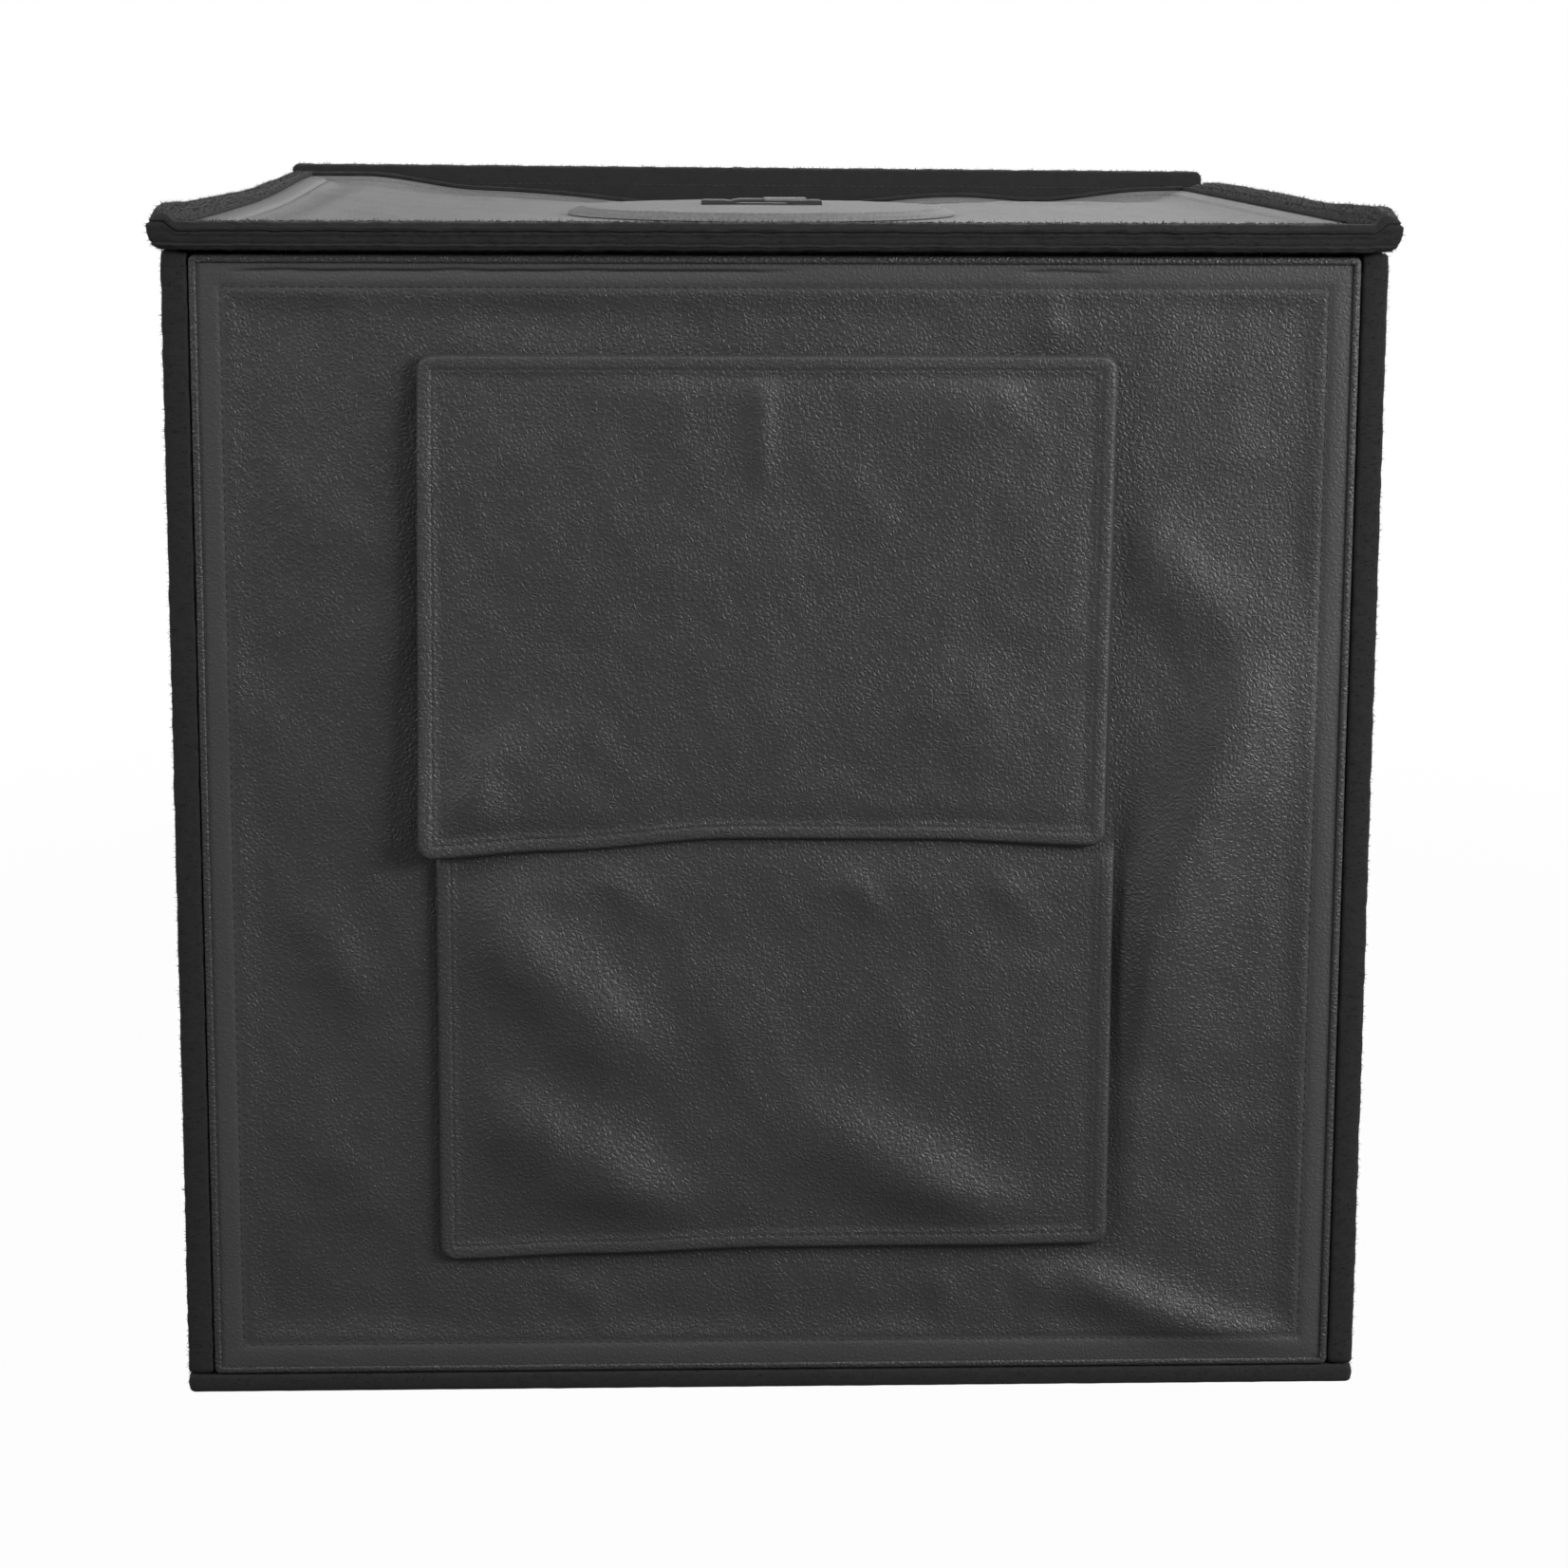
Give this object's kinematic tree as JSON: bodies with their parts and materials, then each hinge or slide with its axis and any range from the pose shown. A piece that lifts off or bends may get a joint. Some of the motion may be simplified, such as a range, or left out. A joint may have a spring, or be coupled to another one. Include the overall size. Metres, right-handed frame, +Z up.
{
  "type": "folding light tent cube",
  "caption": "Soft-sided cube of hinged framed panels with a drop-down front door, window flaps, a lidded roof window and light bars inside, for photographing products.",
  "frame": {"origin": "centre of the closed tent's bounding box on the plane that it stands on", "axes": "+Z up, +X to the right as seen from in front of the door, +Y to the rear wall, so the door faces -Y"},
  "size_m": [0.407, 0.4044, 0.404],
  "materials": {
    "black_leathercloth": "grained polyurethane-coated cloth, semi-gloss",
    "black_binding": "woven hook-and-loop edge tape, matt and fuzzy",
    "black_tape": "woven black tape and webbing, matt",
    "grey_roof_cloth": "silver-grey coated woven cloth, low sheen",
    "silver_lining": "aluminised reflective lining, crinkled",
    "steel_rod": "drawn spring-steel rod",
    "base_board": "pressed board",
    "white_backdrop": "matt white sheet",
    "bar_aluminium": "satin extrusion",
    "light_board": "white solder mask with light chips",
    "bar_diffuser": "frosted white",
    "black_plastic": "moulded, fine texture",
    "eyelet_nickel": "bright nickel plate"
  },
  "bodies": {
    "base": {"base_cover": "black_leathercloth", "base_lining": "silver_lining", "base_binding": "black_binding", "base_board": "base_board", "backdrop": "white_backdrop"},
    "left_wall": {"left_wall_cover": "black_leathercloth", "left_wall_lining": "silver_lining", "left_wall_binding": "black_binding", "left_wall_rod": "steel_rod", "left_wall_door_flange": "black_tape"},
    "right_wall": {"right_wall_cover": "black_leathercloth", "right_wall_lining": "silver_lining", "right_wall_binding": "black_binding", "right_wall_rod": "steel_rod", "right_wall_door_flange": "black_tape"},
    "rear_wall": {"rear_wall_cover": "black_leathercloth", "rear_wall_lining": "silver_lining", "rear_wall_binding": "black_binding", "rear_wall_rod": "steel_rod", "lead_eyelet": "eyelet_nickel", "backdrop_hanger_tape": "black_tape"},
    "front_door": {"front_door_rod": "steel_rod", "front_door_cover": "black_leathercloth", "front_door_lining": "silver_lining", "front_door_binding": "black_leathercloth", "window_edge_tape": "black_binding", "window_tape_left": "black_tape", "window_tape_right": "black_tape", "door_hook_tape_left": "black_tape", "door_hook_tape_right": "black_tape", "upper_flap_seam": "black_tape", "lower_flap_seam": "black_tape"},
    "upper_flap": {"upper_flap": "black_leathercloth"},
    "lower_flap": {"lower_flap": "black_leathercloth"},
    "roof": {"roof_rod": "steel_rod", "roof_cover": "grey_roof_cloth", "roof_lining": "silver_lining", "roof_binding": "black_binding", "roof_window_ring": "black_binding", "front_light_mounting_tape": "black_tape", "front_light_channel": "bar_aluminium", "front_light_light_board": "light_board", "front_light_diffuser": "bar_diffuser", "front_light_cap_left": "black_plastic", "front_light_cap_right": "black_plastic", "rear_light_mounting_tape": "black_tape", "rear_light_channel": "bar_aluminium", "rear_light_light_board": "light_board", "rear_light_diffuser": "bar_diffuser", "rear_light_cap_left": "black_plastic", "rear_light_cap_right": "black_plastic", "light_link_lead": "black_plastic", "supply_socket": "black_plastic"},
    "hatch": {"hatch_cloth": "grey_roof_cloth", "hatch_pull_loop": "black_tape"}
  },
  "joints": [
    {"name": "left_wall_fold", "type": "hinge", "parent": "base", "child": "left_wall", "pos_m": [-0.2, 0, 0.0066], "axis": [0, -1, 0], "range_deg": [0, 90]},
    {"name": "right_wall_fold", "type": "hinge", "parent": "base", "child": "right_wall", "pos_m": [0.2, 0, 0.0066], "axis": [0, 1, 0], "range_deg": [0, 90]},
    {"name": "rear_wall_fold", "type": "hinge", "parent": "base", "child": "rear_wall", "pos_m": [0, 0.20219, 0.0066], "axis": [-1, 0, 0], "range_deg": [0, 90]},
    {"name": "front_door_drop", "type": "hinge", "parent": "base", "child": "front_door", "pos_m": [0, -0.19781, 0.0066], "axis": [1, 0, 0], "range_deg": [0, 90]},
    {"name": "upper_flap_lift", "type": "hinge", "parent": "front_door", "child": "upper_flap", "pos_m": [0, -0.19866, 0.3553], "axis": [-1, 0, 0], "range_deg": [0, 165]},
    {"name": "lower_flap_drop", "type": "hinge", "parent": "front_door", "child": "lower_flap", "pos_m": [0, -0.19906, 0.0496], "axis": [1, 0, 0], "range_deg": [0, 105]},
    {"name": "roof_lift", "type": "hinge", "parent": "rear_wall", "child": "roof", "pos_m": [0, 0.19329, 0.398], "axis": [-1, 0, 0], "range_deg": [0, 90]},
    {"name": "hatch_lift", "type": "hinge", "parent": "roof", "child": "hatch", "pos_m": [0, 0.07619, 0.3943], "axis": [-1, 0, 0], "range_deg": [0, 150]}
  ]
}
